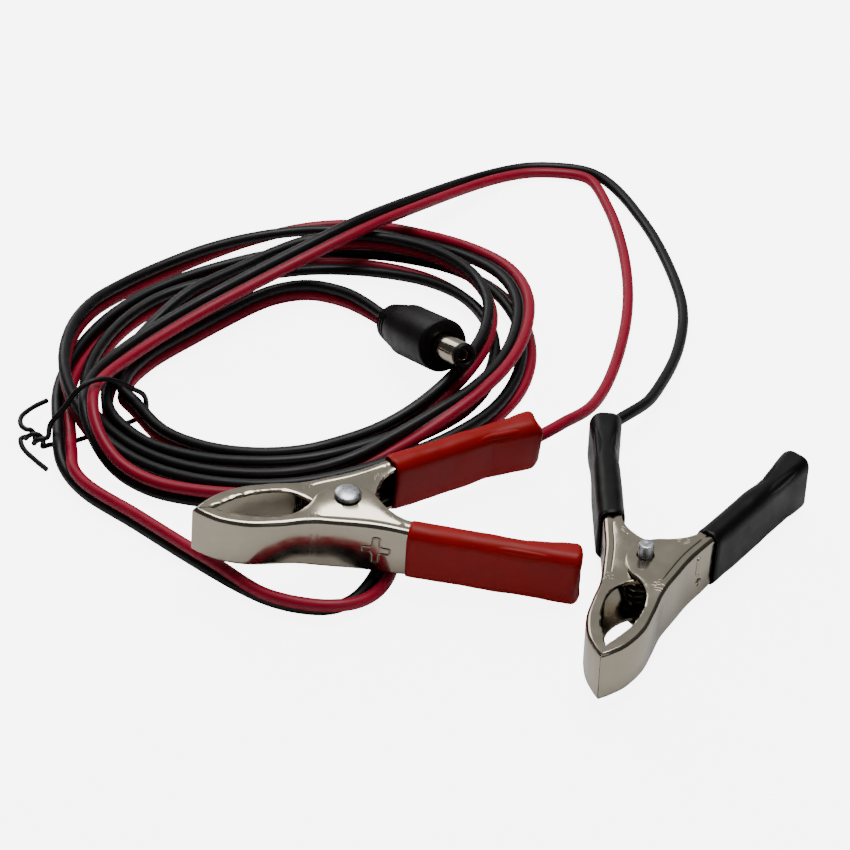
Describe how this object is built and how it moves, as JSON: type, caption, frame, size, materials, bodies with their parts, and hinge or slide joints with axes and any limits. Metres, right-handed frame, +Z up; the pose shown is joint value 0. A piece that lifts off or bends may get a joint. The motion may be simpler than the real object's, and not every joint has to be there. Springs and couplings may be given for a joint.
{
  "type": "battery clip lead",
  "caption": "Low-voltage charging lead: sprung battery clips in red and black sleeves, a coiled and tied red and black cable, and a round barrel plug.",
  "frame": {"origin": "on the table, under the middle of the box round the clips", "axes": "+X to the picture's right, +Y away from the camera, +Z up"},
  "size_m": [0.1653, 0.1908, 0.0187],
  "materials": {
    "black_moulded_plastic": "soft satin",
    "black_pvc": "soft satin",
    "nickel_plated_steel": "bright plated or bare steel",
    "red_pvc": "soft satin",
    "spring_steel": "bright plated or bare steel",
    "tinned_copper": "bare metal",
    "zinc_plated_steel": "bright plated or bare steel"
  },
  "bodies": {
    "lead": {"black_core": "tinned_copper", "black_ferrule": "zinc_plated_steel", "black_fixed_jaw": "nickel_plated_steel", "black_fixed_sleeve": "black_pvc", "black_rivet": "zinc_plated_steel", "black_spring": "spring_steel", "black_wire_coil": "black_pvc", "black_wire_to_clip": "black_pvc", "black_wire_to_plug": "black_pvc", "plug_barrel": "nickel_plated_steel", "plug_body": "black_moulded_plastic", "plug_contact": "tinned_copper", "plug_liner": "black_moulded_plastic", "red_core": "tinned_copper", "red_ferrule": "zinc_plated_steel", "red_fixed_jaw": "nickel_plated_steel", "red_fixed_sleeve": "red_pvc", "red_rivet": "zinc_plated_steel", "red_spring": "spring_steel", "red_wire_coil": "red_pvc", "red_wire_to_clip": "red_pvc", "red_wire_to_plug": "red_pvc", "wire_tie": "black_pvc"},
    "red_moving": {"red_moving_jaw": "nickel_plated_steel", "red_moving_sleeve": "red_pvc"},
    "black_moving": {"black_moving_jaw": "nickel_plated_steel", "black_moving_sleeve": "black_pvc"}
  },
  "joints": [
    {"name": "red_jaw", "type": "hinge", "parent": "lead", "child": "red_moving", "pos_m": [-0.03147, 0.00531, 0.01095], "axis": [0.0876, -0.0474, 0.995], "range_deg": [0, 40], "stiffness_Nm_per_rad": 0.126, "springref_deg": -91.67, "deforming": ["red_spring"]},
    {"name": "black_jaw", "type": "hinge", "parent": "lead", "child": "black_moving", "pos_m": [0.02543, -0.00914, 0.00795], "axis": [0.0158, 0.0286, 0.9995], "range_deg": [0, 40], "stiffness_Nm_per_rad": 0.126, "springref_deg": -91.67, "deforming": ["black_spring"]}
  ]
}
